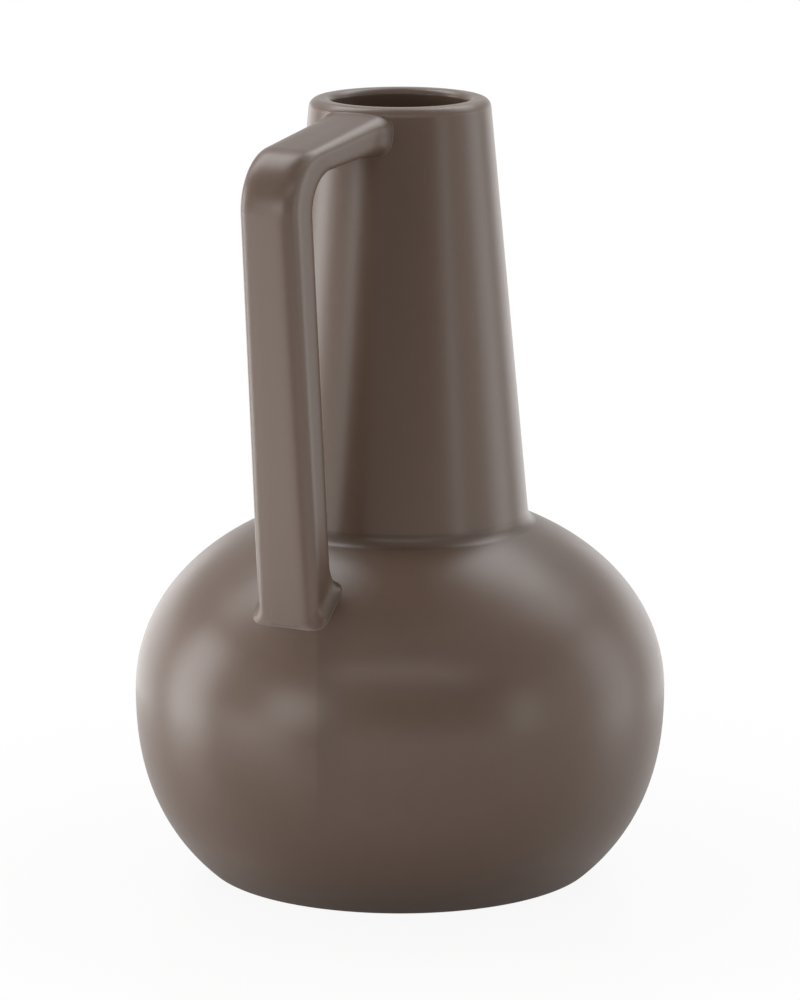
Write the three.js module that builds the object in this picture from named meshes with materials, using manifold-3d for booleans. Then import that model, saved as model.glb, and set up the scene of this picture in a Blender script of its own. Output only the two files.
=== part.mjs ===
// Jug vase: a round-bellied stoneware vase with a tall tapered neck and one squared strap handle.
// It is put together as a potter would do it. The belly and the neck are turned pieces that meet on a flat
// seat, the handle is a bent bar whose ends are cut to the neck and the belly, and a fillet of slip, called
// a lute, runs round each of the three joints.
// Millimetres, +Z up. The origin is the centre of the resting face, and the handle points towards -X.

import * as THREE from "three";
import { mergeVertices } from "three/addons/utils/BufferGeometryUtils.js";
import Module from "manifold-3d";

const wasm = await Module();
wasm.setup();

// Overall
const HEIGHT = 280; // resting face to lip
const JOINT_GAP = 0.3; // room for slip between a fillet or a cut end and its neighbour

// Belly: each half of its outline is a superellipse about the widest level
const BELLY_RADIUS = 95.6;
const BELLY_WIDEST_HEIGHT = 65.6; // widest level above the resting face
const BELLY_UPPER_REACH = 70.6; // from the widest level to the top the curve would close at
const BELLY_LOWER_REACH = 86; // from the widest level to the bottom the curve would close at
const BELLY_UPPER_FULLNESS = 2.07; // 2 is an ellipse, more is squarer
const BELLY_LOWER_FULLNESS = 2.32;
const BELLY_WALL = 5.5;
const BASE_THICKNESS = 8;
const BASE_EDGE_RADIUS = 4.5;
const STANDING_RING_WIDTH = 9;
const UNDERSIDE_RECESS = 2.5;
const UNDERSIDE_BEVEL = 4; // width of the slope from the standing ring up to the recess

// Neck: a cone frustum, thicker at its lip
const NECK_FOOT_RADIUS = 46.3;
const NECK_TOP_RADIUS = 32.05;
const NECK_WALL = 6.5;
const LIP_WALL = 8.2;
const LIP_OUTER_EDGE_RADIUS = 5;
const LIP_INNER_EDGE_RADIUS = 1.8;
const NECK_LUTE_RADIUS = 6;

// Handle: an arm from the neck, a bend and a leg down to the belly
const ARM_TOP_DROP = 2.2; // lip to the arm's top face, measured at the neck
const ARM_ROOT_THICKNESS = 13.4; // at the neck
const ARM_TOP_SLOPE = 8; // degrees that the arm's top face falls outwards
const ARM_UNDERSIDE_SLOPE = 3.6;
const LEG_REACH = 96.8; // axis to the line of the leg's outer face, measured at the arm's height
const LEG_TOP_THICKNESS = 17.6; // between the lines of the leg's two faces, at that same height
const LEG_OUTER_LEAN = 5.2; // degrees that the leg's outer face comes in downwards
const LEG_INNER_LEAN = 4;
const BEND_OUTER_RADIUS = 20.5;
const BEND_INNER_RADIUS = 13;
const HANDLE_END_WIDTH = 25.8; // at the neck and at the belly
const HANDLE_BEND_WIDTH = 22.8;
// Exponents of the bar's superelliptic section, 2 for an ellipse and more for squarer
const NECK_END_SQUARENESS = 3.2;
const BEND_SQUARENESS = 4;
const FOOT_SQUARENESS = 4.6;
const HANDLE_LUTE_RADIUS = 4; // beside and behind the bar
const HANDLE_LUTE_FRONT_RADIUS = 0.8; // under the leg's outer face and over the arm's top face

// Fineness
const TURNED_SEGMENTS = 72;
const SECTION_POINTS = 28;
const LEVEL_TOLERANCE = 1e-7;
const SURFACE_STEP = 0.5; // step with which the pot's surface is looked for along the bar
const SURFACE_REACH = 25;

const glaze = { color: 0x6d6157, roughness: 0.5, metalness: 0 };
const slip = { color: 0x75695f, roughness: 0.55, metalness: 0 };

const radians = THREE.MathUtils.degToRad;
const point = (x, y) => new THREE.Vector2(x, y);

// Halves an interval until the sign change of f in it is found.
function signChange(f, low, high) {
  const startsPositive = f(low) > 0;
  while (high - low > LEVEL_TOLERANCE) {
    const middle = (low + high) / 2;
    if (f(middle) > 0 === startsPositive) low = middle;
    else high = middle;
  }
  return (low + high) / 2;
}

// The belly's outline at a turning angle, 0 at the widest level and 90 degrees at the top. A positive grow
// moves the curve outwards by enlarging each half-axis, and a negative one gives the inside of the wall.
function bellyPoint(angle, grow = 0) {
  const upper = angle > 0;
  const reach = (upper ? BELLY_UPPER_REACH : BELLY_LOWER_REACH) + grow;
  const power = 2 / (upper ? BELLY_UPPER_FULLNESS : BELLY_LOWER_FULLNESS);
  const rise = Math.sign(angle) * reach * Math.abs(Math.sin(angle)) ** power;
  const radius = (BELLY_RADIUS + grow) * Math.max(Math.cos(angle), 0) ** power;
  return point(radius, BELLY_WIDEST_HEIGHT + rise);
}

// The turning angle at which the outline stands at a height.
function bellyAngle(height, grow = 0) {
  const offset = height - BELLY_WIDEST_HEIGHT;
  const reach = (offset > 0 ? BELLY_UPPER_REACH : BELLY_LOWER_REACH) + grow;
  const fullness = offset > 0 ? BELLY_UPPER_FULLNESS : BELLY_LOWER_FULLNESS;
  return Math.sign(offset) * Math.asin(Math.min(Math.abs(offset) / reach, 1) ** (fullness / 2));
}

// Outward normal of the belly's outline, across the chord of two near points.
function bellyNormal(angle) {
  const step = 1e-4;
  const chord = bellyPoint(angle + step).sub(bellyPoint(angle - step));
  return point(chord.y, -chord.x).normalize();
}

function bellyArc(fromAngle, toAngle, steps, grow = 0) {
  const angleAt = (i) => fromAngle + ((toAngle - fromAngle) * i) / steps;
  return Array.from({ length: steps + 1 }, (_, i) => bellyPoint(angleAt(i), grow));
}

function circleArc(centre, radius, fromAngle, toAngle, steps) {
  const angleAt = (i) => fromAngle + ((toAngle - fromAngle) * i) / steps;
  return Array.from({ length: steps + 1 }, (_, i) =>
    point(Math.cos(angleAt(i)), Math.sin(angleAt(i))).multiplyScalar(radius).add(centre),
  );
}

// The seat where the belly is cut flat for the neck, at the level where both have the same radius.
const seatAngle = signChange((angle) => bellyPoint(angle).x - NECK_FOOT_RADIUS, 0, Math.PI / 2);
const SEAT_HEIGHT = bellyPoint(seatAngle).y;
const SEAT_BORE_RADIUS = NECK_FOOT_RADIUS - NECK_WALL;

const neckTaper = Math.atan2(NECK_FOOT_RADIUS - NECK_TOP_RADIUS, HEIGHT - SEAT_HEIGHT);
const neckRadius = (height) => NECK_FOOT_RADIUS - (height - SEAT_HEIGHT) * Math.tan(neckTaper);

// The outer arc of the lip touches the cone and the top face.
const lipCentreHeight = HEIGHT - LIP_OUTER_EDGE_RADIUS;
const lipCentre = point(
  neckRadius(lipCentreHeight) - LIP_OUTER_EDGE_RADIUS / Math.cos(neckTaper),
  lipCentreHeight,
);

// The neck's outside from the seat up over the lip's outer edge, moved outwards by a gap.
function neckOutline(gap = 0) {
  return [
    point(NECK_FOOT_RADIUS + gap / Math.cos(neckTaper), SEAT_HEIGHT),
    ...circleArc(lipCentre, LIP_OUTER_EDGE_RADIUS + gap, neckTaper, Math.PI / 2, 6),
  ];
}

// A turned piece: a profile of radius and height, from below to above along its outside.
function turned(profile) {
  return new THREE.LatheGeometry(profile, TURNED_SEGMENTS).rotateX(Math.PI / 2);
}

function bellyGeometry() {
  // The base edge is an arc that touches both the resting face and the belly's outline.
  const touches = signChange(
    (angle) => bellyPoint(angle).y - BASE_EDGE_RADIUS * (1 + bellyNormal(angle).y),
    bellyAngle(0),
    0,
  );
  const normal = bellyNormal(touches);
  const edgeCentre = bellyPoint(touches).addScaledVector(normal, -BASE_EDGE_RADIUS);
  const edge = circleArc(edgeCentre, BASE_EDGE_RADIUS, -Math.PI / 2, normal.angle() - 2 * Math.PI, 4);
  const ringInside = edgeCentre.x - STANDING_RING_WIDTH;

  const boreAngle = signChange(
    (angle) => bellyPoint(angle, -BELLY_WALL).x - SEAT_BORE_RADIUS,
    0,
    Math.PI / 2,
  );
  return turned([
    point(0, UNDERSIDE_RECESS),
    point(ringInside - UNDERSIDE_BEVEL, UNDERSIDE_RECESS),
    point(ringInside, 0),
    ...edge,
    ...bellyArc(touches, 0, 8).slice(1),
    ...bellyArc(0, seatAngle, 9).slice(1),
    point(SEAT_BORE_RADIUS, SEAT_HEIGHT),
    ...bellyArc(boreAngle, 0, 7, -BELLY_WALL),
    ...bellyArc(0, bellyAngle(BASE_THICKNESS, -BELLY_WALL), 6, -BELLY_WALL).slice(1),
    point(0, BASE_THICKNESS),
  ]);
}

function neckGeometry() {
  const lipBore = NECK_TOP_RADIUS - LIP_WALL;
  const innerCentre = point(lipBore + LIP_INNER_EDGE_RADIUS, HEIGHT - LIP_INNER_EDGE_RADIUS);
  const profile = [
    point(SEAT_BORE_RADIUS, SEAT_HEIGHT),
    ...neckOutline(),
    ...circleArc(innerCentre, LIP_INNER_EDGE_RADIUS, Math.PI / 2, Math.PI, 4),
  ];
  return turned([...profile, profile[0]]);
}

// The fillet round the neck's foot: a hollow arc that would touch the neck and the belly, closed off at the
// slip's gap from both.
function neckLuteGeometry() {
  const centreAt = (angle) => bellyPoint(angle).addScaledVector(bellyNormal(angle), NECK_LUTE_RADIUS);
  const awayFromNeck = (p) => (p.x - neckRadius(p.y)) * Math.cos(neckTaper);
  const touches = signChange((angle) => awayFromNeck(centreAt(angle)) - NECK_LUTE_RADIUS, 0, seatAngle);
  const centre = centreAt(touches);
  const trim = Math.acos(1 - JOINT_GAP / NECK_LUTE_RADIUS);
  const onBelly = bellyNormal(touches).angle() - Math.PI;
  const onNeck = neckTaper - Math.PI;
  const hollow = circleArc(centre, NECK_LUTE_RADIUS, onBelly - trim, onNeck + trim, 6);
  const besideNeck = (height) => neckRadius(height) + JOINT_GAP / Math.cos(neckTaper);
  const cornerAngle = signChange(
    (angle) => bellyPoint(angle, JOINT_GAP).x - besideNeck(bellyPoint(angle, JOINT_GAP).y),
    0,
    Math.PI / 2,
  );
  const profile = [bellyPoint(cornerAngle, JOINT_GAP), ...hollow];
  return turned([...profile, profile[0]]);
}

// One side of the handle in its own plane, x outwards from the axis and y up: a straight run from inside
// the neck's wall, an arc and a straight run down into the belly.
function handleSide(atNeck, armSlope, atLeg, legLean, bendRadius, legEnd) {
  const arm = point(Math.cos(radians(armSlope)), -Math.sin(radians(armSlope)));
  const leg = point(-Math.sin(radians(legLean)), -Math.cos(radians(legLean)));
  const between = atLeg.clone().sub(atNeck);
  const along = between.cross(leg) / arm.cross(leg);
  const corner = atNeck.clone().addScaledVector(arm, along);
  const turn = arm.angleTo(leg);
  const setback = bendRadius * Math.tan(turn / 2);
  const start = atNeck.clone().addScaledVector(arm, -NECK_WALL);
  const armEnd = corner.clone().addScaledVector(arm, -setback);
  const legStart = corner.clone().addScaledVector(leg, setback);
  const inward = point(arm.y, -arm.x);
  const centre = armEnd.clone().addScaledVector(inward, bendRadius);
  const legBottom = legStart.clone().addScaledVector(leg, (legStart.y - legEnd) / -leg.y);
  return {
    arm: (t) => start.clone().lerp(armEnd, t),
    bend: (t) =>
      centre
        .clone()
        .addScaledVector(inward, -bendRadius * Math.cos(t * turn))
        .addScaledVector(arm, bendRadius * Math.sin(t * turn)),
    leg: (t) => legStart.clone().lerp(legBottom, t),
  };
}

const armHeight = HEIGHT - ARM_TOP_DROP;
const rootRadius = neckRadius(armHeight);
const outerSide = handleSide(
  point(rootRadius, armHeight),
  ARM_TOP_SLOPE,
  point(LEG_REACH, armHeight),
  LEG_OUTER_LEAN,
  BEND_OUTER_RADIUS,
  BELLY_WIDEST_HEIGHT,
);
const innerSide = handleSide(
  point(rootRadius, armHeight - ARM_ROOT_THICKNESS),
  ARM_UNDERSIDE_SLOPE,
  point(LEG_REACH - LEG_TOP_THICKNESS, armHeight),
  LEG_INNER_LEAN,
  BEND_INNER_RADIUS,
  BELLY_WIDEST_HEIGHT,
);

// Stations along the bar, each with its outer and inner edge point, its width and its squareness.
function stations() {
  const list = [];
  const add = (part, t, width, squareness) =>
    list.push({ outer: outerSide[part](t), inner: innerSide[part](t), width, squareness });
  const between = THREE.MathUtils.lerp;
  const armSteps = 6;
  const bendSteps = 12;
  const legSteps = 10;
  for (let i = 0; i < armSteps; i++) {
    const t = i / armSteps;
    const width = between(HANDLE_END_WIDTH, HANDLE_BEND_WIDTH, t);
    add("arm", t, width, between(NECK_END_SQUARENESS, BEND_SQUARENESS, t));
  }
  for (let i = 0; i < bendSteps; i++) add("bend", i / bendSteps, HANDLE_BEND_WIDTH, BEND_SQUARENESS);
  for (let i = 0; i <= legSteps; i++) {
    const t = i / legSteps;
    const width = between(HANDLE_BEND_WIDTH, HANDLE_END_WIDTH, t);
    add("leg", t, width, between(BEND_SQUARENESS, FOOT_SQUARENESS, t));
  }
  return list;
}

// A point on the bar's skin: a superellipse between the station's two edge points. Its normal lies in the
// plane of the section.
function skin(station, index) {
  const angle = (2 * Math.PI * index) / SECTION_POINTS;
  const power = 2 / station.squareness;
  const c = Math.cos(angle);
  const s = Math.sin(angle);
  const span = station.outer.clone().sub(station.inner);
  const thickness = span.length();
  const across = new THREE.Vector3(-span.x / thickness, 0, span.y / thickness);
  const centre = station.outer.clone().add(station.inner).multiplyScalar(0.5);
  const side = (Math.sign(c) * Math.abs(c) ** power * station.width) / 2;
  const depth = (Math.sign(s) * Math.abs(s) ** power * thickness) / 2;
  const place = new THREE.Vector3(-centre.x, 0, centre.y)
    .addScaledVector(across, depth)
    .add(new THREE.Vector3(0, side, 0));
  const normal = across
    .clone()
    .multiplyScalar((Math.sign(s) * Math.abs(s) ** (2 - power)) / thickness)
    .add(new THREE.Vector3(0, (Math.sign(c) * Math.abs(c) ** (2 - power)) / station.width, 0))
    .normalize();
  return { place, normal };
}

// Joins rings of points, all of the same length, into one skin. The ends are closed by fans, or the last
// ring is joined to the first.
function loft(rings, closed) {
  const size = rings[0].length;
  const positions = rings.flat().flatMap((p) => [p.x, p.y, p.z]);
  const faces = [];
  const last = closed ? rings.length : rings.length - 1;
  for (let i = 0; i < last; i++) {
    for (let j = 0; j < size; j++) {
      const a = i * size + j;
      const b = i * size + ((j + 1) % size);
      const c = ((i + 1) % rings.length) * size + j;
      const d = ((i + 1) % rings.length) * size + ((j + 1) % size);
      faces.push(a, b, d, a, d, c);
    }
  }
  if (!closed) {
    const end = (rings.length - 1) * size;
    for (let j = 1; j < size - 1; j++) faces.push(0, j + 1, j, end, end + j, end + j + 1);
  }
  const geometry = new THREE.BufferGeometry();
  geometry.setAttribute("position", new THREE.Float32BufferAttribute(positions, 3));
  geometry.setIndex(faces);
  return geometry;
}

function solid(geometry) {
  const bare = geometry.clone();
  bare.deleteAttribute("normal");
  bare.deleteAttribute("uv");
  const merged = mergeVertices(bare, 1e-4);
  const make = (corners) =>
    new wasm.Manifold(
      new wasm.Mesh({
        numProp: 3,
        vertProperties: new Float32Array(merged.attributes.position.array),
        triVerts: new Uint32Array(corners),
      }),
    );
  const corners = merged.index.array;
  const made = make(corners);
  // Rings that run the other way round give faces that point inwards, so these are listed backwards.
  return made.volume() > 0 ? made : make(corners.toReversed());
}

function fromSolid(made) {
  const mesh = made.getMesh();
  const geometry = new THREE.BufferGeometry();
  geometry.setAttribute("position", new THREE.BufferAttribute(mesh.vertProperties, 3));
  geometry.setIndex(new THREE.BufferAttribute(mesh.triVerts, 1));
  geometry.computeVertexNormals();
  return geometry;
}

// The space that the belly and the neck take up, with their hollows filled, grown by a gap.
function bellyEnvelope(gap) {
  return solid(turned([
    point(0, -gap),
    point(bellyPoint(bellyAngle(0), gap).x, -gap),
    ...bellyArc(bellyAngle(0), 0, 10, gap).slice(1),
    ...bellyArc(0, Math.PI / 2, 24, gap).slice(1),
  ]));
}

function neckEnvelope(gap) {
  return solid(turned([point(0, SEAT_HEIGHT), ...neckOutline(gap), point(0, HEIGHT + gap)]));
}

const bar = stations();

function handleGeometry() {
  const rings = bar.map((station) =>
    Array.from({ length: SECTION_POINTS }, (_, i) => skin(station, i).place),
  );
  const whole = solid(loft(rings, false));
  return fromSolid(whole.subtract(neckEnvelope(JOINT_GAP)).subtract(bellyEnvelope(JOINT_GAP)));
}

// Positive where a point stands outside the neck or the belly, and negative inside.
function outsideNeck(p) {
  const radius = Math.hypot(p.x, p.y);
  const fromLip = point(radius, p.z).sub(lipCentre);
  if (fromLip.x < 0) return p.z - HEIGHT;
  const onLip = fromLip.y > fromLip.x * Math.tan(neckTaper);
  return onLip ? fromLip.length() - LIP_OUTER_EDGE_RADIUS : radius - neckRadius(p.z);
}
function outsideBelly(p) {
  const offset = p.z - BELLY_WIDEST_HEIGHT;
  const reach = offset > 0 ? BELLY_UPPER_REACH : BELLY_LOWER_REACH;
  const fullness = offset > 0 ? BELLY_UPPER_FULLNESS : BELLY_LOWER_FULLNESS;
  const across = (Math.hypot(p.x, p.y) / BELLY_RADIUS) ** fullness;
  return across + (Math.abs(offset) / reach) ** fullness - 1;
}

// The nearest crossing of the pot's surface and the line through a point along a direction.
function nearestSurface(from, direction, outside) {
  const moved = (t) => from.clone().addScaledVector(direction, t);
  const startsOutside = outside(from) > 0;
  const step = startsOutside ? -SURFACE_STEP : SURFACE_STEP;
  let reach = step;
  while (Math.abs(reach) < SURFACE_REACH && outside(moved(reach)) > 0 === startsOutside) reach += step;
  return moved(signChange((t) => outside(moved(t)), Math.min(reach, 0), Math.max(reach, 0)));
}

// The fillet round one end of the bar. For each line along the bar's skin it starts where that line meets
// the pot, and rises from the pot's surface to the bar in a hollow quarter arc.
function handleLuteGeometry(line, outside, envelope) {
  const arcSteps = 5;
  const sunk = 2; // how far the ring reaches into the pot before it is cut back to the pot's surface
  const rings = [];
  for (let j = 0; j < SECTION_POINTS; j++) {
    const skins = line.map((station) => skin(station, j));
    const first = skins.findIndex((s) => outside(s.place) > 0);
    const before = skins[first - 1].place;
    const { place: after, normal } = skins[first];
    const away = after.clone().sub(before).normalize();
    const place = nearestSurface(after, away, outside);
    const facing = Math.max(normal.dot(frontNormal(line[first])), 0);
    const radius = THREE.MathUtils.lerp(HANDLE_LUTE_RADIUS, HANDLE_LUTE_FRONT_RADIUS, facing);
    const standing = (out, up) => {
      const from = place.clone().addScaledVector(normal, out);
      return nearestSurface(from, away, outside).addScaledVector(away, up);
    };
    const clearOfBar = Math.acos(1 - JOINT_GAP / radius);
    const ring = [];
    for (let i = 0; i <= arcSteps; i++) {
      const angle = THREE.MathUtils.lerp(clearOfBar, Math.PI / 2, i / arcSteps);
      ring.push(standing(radius * (1 - Math.cos(angle)), radius * (1 - Math.sin(angle))));
    }
    ring.push(standing(radius, -sunk));
    ring.push(standing(JOINT_GAP, -sunk));
    rings.push(ring);
  }
  return fromSolid(solid(loft(rings, true)).subtract(envelope));
}

// Direction across the bar from its inner to its outer side.
function frontNormal(station) {
  const span = station.outer.clone().sub(station.inner).normalize();
  return new THREE.Vector3(-span.x, 0, span.y);
}

const upperLuteGeometry = () =>
  handleLuteGeometry(bar, outsideNeck, neckEnvelope(JOINT_GAP));
const lowerLuteGeometry = () =>
  handleLuteGeometry([...bar].reverse(), outsideBelly, bellyEnvelope(JOINT_GAP));

function piece(name, geometry, finish) {
  const mesh = new THREE.Mesh(geometry, new THREE.MeshStandardMaterial(finish));
  mesh.name = name;
  return mesh;
}

const vase = new THREE.Group();
vase.add(
  piece("belly", bellyGeometry(), glaze),
  piece("neck", neckGeometry(), glaze),
  piece("neck_lute", neckLuteGeometry(), slip),
  piece("handle", handleGeometry(), glaze),
  piece("upper_lute", upperLuteGeometry(), slip),
  piece("lower_lute", lowerLuteGeometry(), slip),
);

export default vase;
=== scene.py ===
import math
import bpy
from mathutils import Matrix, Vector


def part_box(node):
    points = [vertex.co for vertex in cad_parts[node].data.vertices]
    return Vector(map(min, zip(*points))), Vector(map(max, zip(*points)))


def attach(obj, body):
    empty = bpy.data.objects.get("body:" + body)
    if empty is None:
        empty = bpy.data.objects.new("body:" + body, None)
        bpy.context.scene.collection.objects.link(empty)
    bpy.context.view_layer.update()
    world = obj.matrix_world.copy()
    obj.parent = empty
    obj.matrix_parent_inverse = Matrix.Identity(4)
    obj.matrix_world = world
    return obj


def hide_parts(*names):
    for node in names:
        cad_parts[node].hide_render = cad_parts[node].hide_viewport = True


bl_info = {
    "name": "Jug Vase",
    "version": (1, 0, 0),
    "blender": (4, 5, 0),
    "location": "View3D > Sidebar > Jug Vase",
    "description": "Dresses a stoneware jug vase in its satin glaze and sets it in a plain studio",
    "category": "Object",
}

import bpy
import numpy as np
from bpy.props import FloatProperty, FloatVectorProperty, IntProperty, PointerProperty
from mathutils import Vector

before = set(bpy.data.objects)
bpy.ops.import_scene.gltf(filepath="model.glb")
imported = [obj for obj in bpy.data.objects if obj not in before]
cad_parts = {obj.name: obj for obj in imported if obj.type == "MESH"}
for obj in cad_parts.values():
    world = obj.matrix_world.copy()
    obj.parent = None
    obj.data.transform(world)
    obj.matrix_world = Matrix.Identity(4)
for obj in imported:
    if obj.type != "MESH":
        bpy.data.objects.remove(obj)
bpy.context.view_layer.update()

# Everything is in metres, +Z up, with the origin at the centre of the resting face and the handle towards -X.
# What the frame settles is read from it, so the dressed vase follows the construction model.
_, BELLY_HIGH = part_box("belly")
NECK_LOW, NECK_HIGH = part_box("neck")
HANDLE_LOW, HANDLE_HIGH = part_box("handle")
SEAT_HEIGHT = NECK_LOW.z
LIP_HEIGHT = NECK_HIGH.z
STRAP_WIDTH = HANDLE_HIGH.y - HANDLE_LOW.y
BODY = "root"


def number(name, default, description, **options):
    return FloatProperty(name=name, description=description, default=default, min=0.0, **options)


def length(name, default, description):
    return number(name, default, description, unit="LENGTH", precision=5)


def angle(name, degrees, description):
    return FloatProperty(name=name, description=description, default=math.radians(degrees), subtype="ANGLE")


def count(name, default, least, description):
    return IntProperty(name=name, description=description, default=default, min=least)


def colour(name, default, description):
    options = {"size": 3, "min": 0.0, "max": 1.0, "subtype": "COLOR"}
    return FloatVectorProperty(name=name, description=description, default=default, **options)


class BellyShape(bpy.types.PropertyGroup):
    """Sizes of the round belly and its base"""

    radius: length("Radius", BELLY_HIGH.x, "Radius at the widest level")
    widest_height: length("Widest height", 0.0656, "Height of the widest level above the table")
    upper_reach: length("Upper reach", 0.0706, "From the widest level to where the upper half closes")
    lower_reach: length("Lower reach", 0.086, "From the widest level to where the lower half closes")
    upper_fullness: number("Upper fullness", 2.07, "Exponent of the upper half, 2 for an ellipse")
    lower_fullness: number("Lower fullness", 2.32, "Exponent of the lower half, more is squarer")
    wall: length("Wall", 0.0055, "Thickness of the belly's wall")
    base_thickness: length("Base thickness", 0.008, "From the table to the floor of the hollow")
    base_edge_radius: length("Base edge radius", 0.0045, "Rounding between the standing ring and the side")
    ring_width: length("Standing ring width", 0.009, "Width of the bare ring that the vase stands on")
    recess: length("Recess", 0.0025, "Depth of the hollow under the base")
    bevel: length("Recess bevel", 0.004, "Width of the slope from the ring up to the recess")


class NeckShape(bpy.types.PropertyGroup):
    """Sizes of the tapered neck and its lip"""

    foot_radius: length("Foot radius", NECK_HIGH.x, "Outside radius where the neck stands on the belly")
    top_radius: length("Top radius", 0.03205, "Radius that the cone has at the height of the lip")
    wall: length("Wall", 0.0065, "Thickness of the wall at the foot")
    lip_wall: length("Lip wall", 0.0076, "Thickness of the wall at the lip")
    lip_outer_radius: length("Lip outer radius", 0.0036, "Rounding of the lip's outer edge")
    lip_inner_radius: length("Lip inner radius", 0.0023, "Rounding of the lip's inner edge")


class HandleShape(bpy.types.PropertyGroup):
    """Sizes of the squared strap handle"""

    top_drop: length("Top drop", 0.0022, "From the lip down to the arm's top face at the neck")
    root_thickness: length("Root thickness", 0.0134, "Thickness of the arm at the neck")
    arm_top_slope: angle("Arm top slope", 8.0, "How much the arm's top face falls outwards")
    arm_under_slope: angle("Arm underside slope", 3.6, "How much the arm's underside falls outwards")
    leg_reach: length("Leg reach", 0.0968, "From the axis to the leg's outer face, taken at the arm's height")
    leg_top_thickness: length("Leg top thickness", 0.0176, "Between the leg's faces, taken at that height")
    leg_outer_lean: angle("Leg outer lean", 5.2, "How much the leg's outer face comes in downwards")
    leg_inner_lean: angle("Leg inner lean", 4.0, "How much the leg's inner face comes in downwards")
    bend_outer_radius: length("Bend outer radius", 0.0205, "Radius of the outside of the bend")
    bend_inner_radius: length("Bend inner radius", 0.013, "Radius of the inside of the bend")
    end_width: length("End width", STRAP_WIDTH, "Width of the strap at the neck and the belly")
    bend_width: length("Bend width", 0.0228, "Width of the strap at the bend")
    neck_squareness: number("Squareness at the neck", 3.2, "Exponent of the strap's section at the neck")
    bend_squareness: number("Squareness at the bend", 4.0, "Exponent of the section in the bend")
    foot_squareness: number("Squareness at the foot", 4.6, "Exponent of the section at the belly")


class LuteShape(bpy.types.PropertyGroup):
    """Sizes of the slip fillets round the joints"""

    neck_radius: length("Neck fillet", 0.006, "Radius of the hollow round the neck's foot")
    upper_front: length("Upper, above", 0.00025, "Reach above the arm's end")
    upper_corner: length("Upper, top corners", 0.0018, "Sideways reach at the arm's top corners")
    upper_side: length("Upper, low corners", 0.0018, "Sideways reach at the arm's low corners")
    upper_back: length("Upper, below", 0.0022, "Reach below the arm's end")
    upper_rise: number("Upper rise", 4.0, "Height of the slip on the arm, as a share of its reach")
    lower_front: length("Foot, front", 0.0002, "Reach in front of the foot")
    lower_corner: length("Foot, front corners", 0.0028, "Sideways reach at the foot's front corners")
    lower_side: length("Foot, back corners", 0.0042, "Sideways reach at the foot's back corners")
    lower_back: length("Foot, back", 0.005, "Reach behind the foot")
    lower_rise: number("Foot rise", 2.3, "Height of the slip on the leg, as a share of its reach")
    lip: length("Slip edge", 0.00032, "How far the slip's edge stands off the pot")


class GlazeFinish(bpy.types.PropertyGroup):
    """Colours and surface of the satin glaze"""

    colour: colour("Glaze", (0.111, 0.07, 0.0495), "Colour of the glaze where it lies evenly")
    # The paler colour is glaze run thinner over edges and also a painted edge highlight. It colours the pale
    # specks too.
    thin_glaze_and_highlight_colour: colour("Thin glaze", (0.175, 0.132, 0.104), "Colour where it has run thin over an edge")
    # The darker colour is gathered glaze in hollows and also painted shade in those hollows. It colours the
    # pinholes too.
    pooled_glaze_and_shade_colour: colour("Pooled glaze", (0.055, 0.037, 0.027), "Colour where it has gathered in a hollow")
    clay: colour("Bare clay", (0.46, 0.36, 0.27), "Colour of the unglazed standing ring")
    roughness: number("Roughness", 0.33, "Roughness of the satin surface")
    clay_roughness: number("Clay roughness", 0.85, "Roughness of the bare clay")
    grain: length("Grain", 0.00003, "Height of the fine grain in the glaze")
    # Share of the paler colour on sharp edges, which also paints an edge highlight there.
    thinning_and_highlight: number("Thinning", 0.34, "Share of the thin colour on the sharpest edges")
    # Share of the darker colour in tight hollows, which also paints shade there.
    pooling_and_shade: number("Pooling", 0.65, "Share of the pooled colour in the tightest hollows")
    specks: number("Pale specks", 0.35, "Share of the thin colour in the pale specks")
    pinholes: number("Pinholes", 0.5, "Share of the pooled colour in the pinholes")
    glaze_line: length("Glaze line", 0.0006, "Height above the table where the glaze ends")
    seam_azimuth: angle("Mould seam", 209.4, "Turn of the mould's upright parting plane, from +X")
    seam_offset: length("Seam offset", 0.0288, "From the axis to the parting plane, to the handle's far side")
    # Painted shade: darkens the glaze beside the mould's parting line, where the belly turns a little.
    seam: number("Seam strength", 0.14, "How much darker the glaze is beside the seam")


class StudioSettings(bpy.types.PropertyGroup):
    """Camera, floor and lamps"""

    azimuth: angle("Camera azimuth", -60.6, "Turn of the camera round the vase, 0 looking along +Y")
    pitch: angle("Camera pitch", 12.0, "How much the camera looks down")
    distance: length("Camera distance", 1.8, "From the camera to the vase's axis, measured level")
    height: length("Camera height", 0.517, "Height of the camera above the floor")
    focal_length: FloatProperty(name="Focal length", description="In millimetres", default=184.3, min=1.0)
    floor: colour("Floor", (0.68, 0.67, 0.66), "Colour of the floor")
    floor_radius: length("Floor radius", 0.3, "Radius of the round table top")
    floor_roughness: number("Floor roughness", 0.2, "Roughness of the floor")
    floor_white: number("Floor white", 0.92, "Share of white that the camera sees in the floor near the vase")
    floor_white_radius: length("Near floor", 0.12, "From here outwards the floor rises to white at its rim")
    floor_gloss: number("Floor gloss", 0.15, "Share of that white that a gloss sees")
    lamp_level: number("Lamp level", 1.0, "Brightness of all lamps together")
    cloth: number("Tent", 0.6, "Brightness of the light tent round the vase, 1 being white")
    backdrop: number("Backdrop", 0.7, "Light that the backdrop throws on the vase, 1 being white")
    opening: number("Opening", 0.27, "Brightness of the tent's opening round the camera")
    zenith: number("Zenith", 0.1, "Brightness of the gap in the tent straight above")


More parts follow.
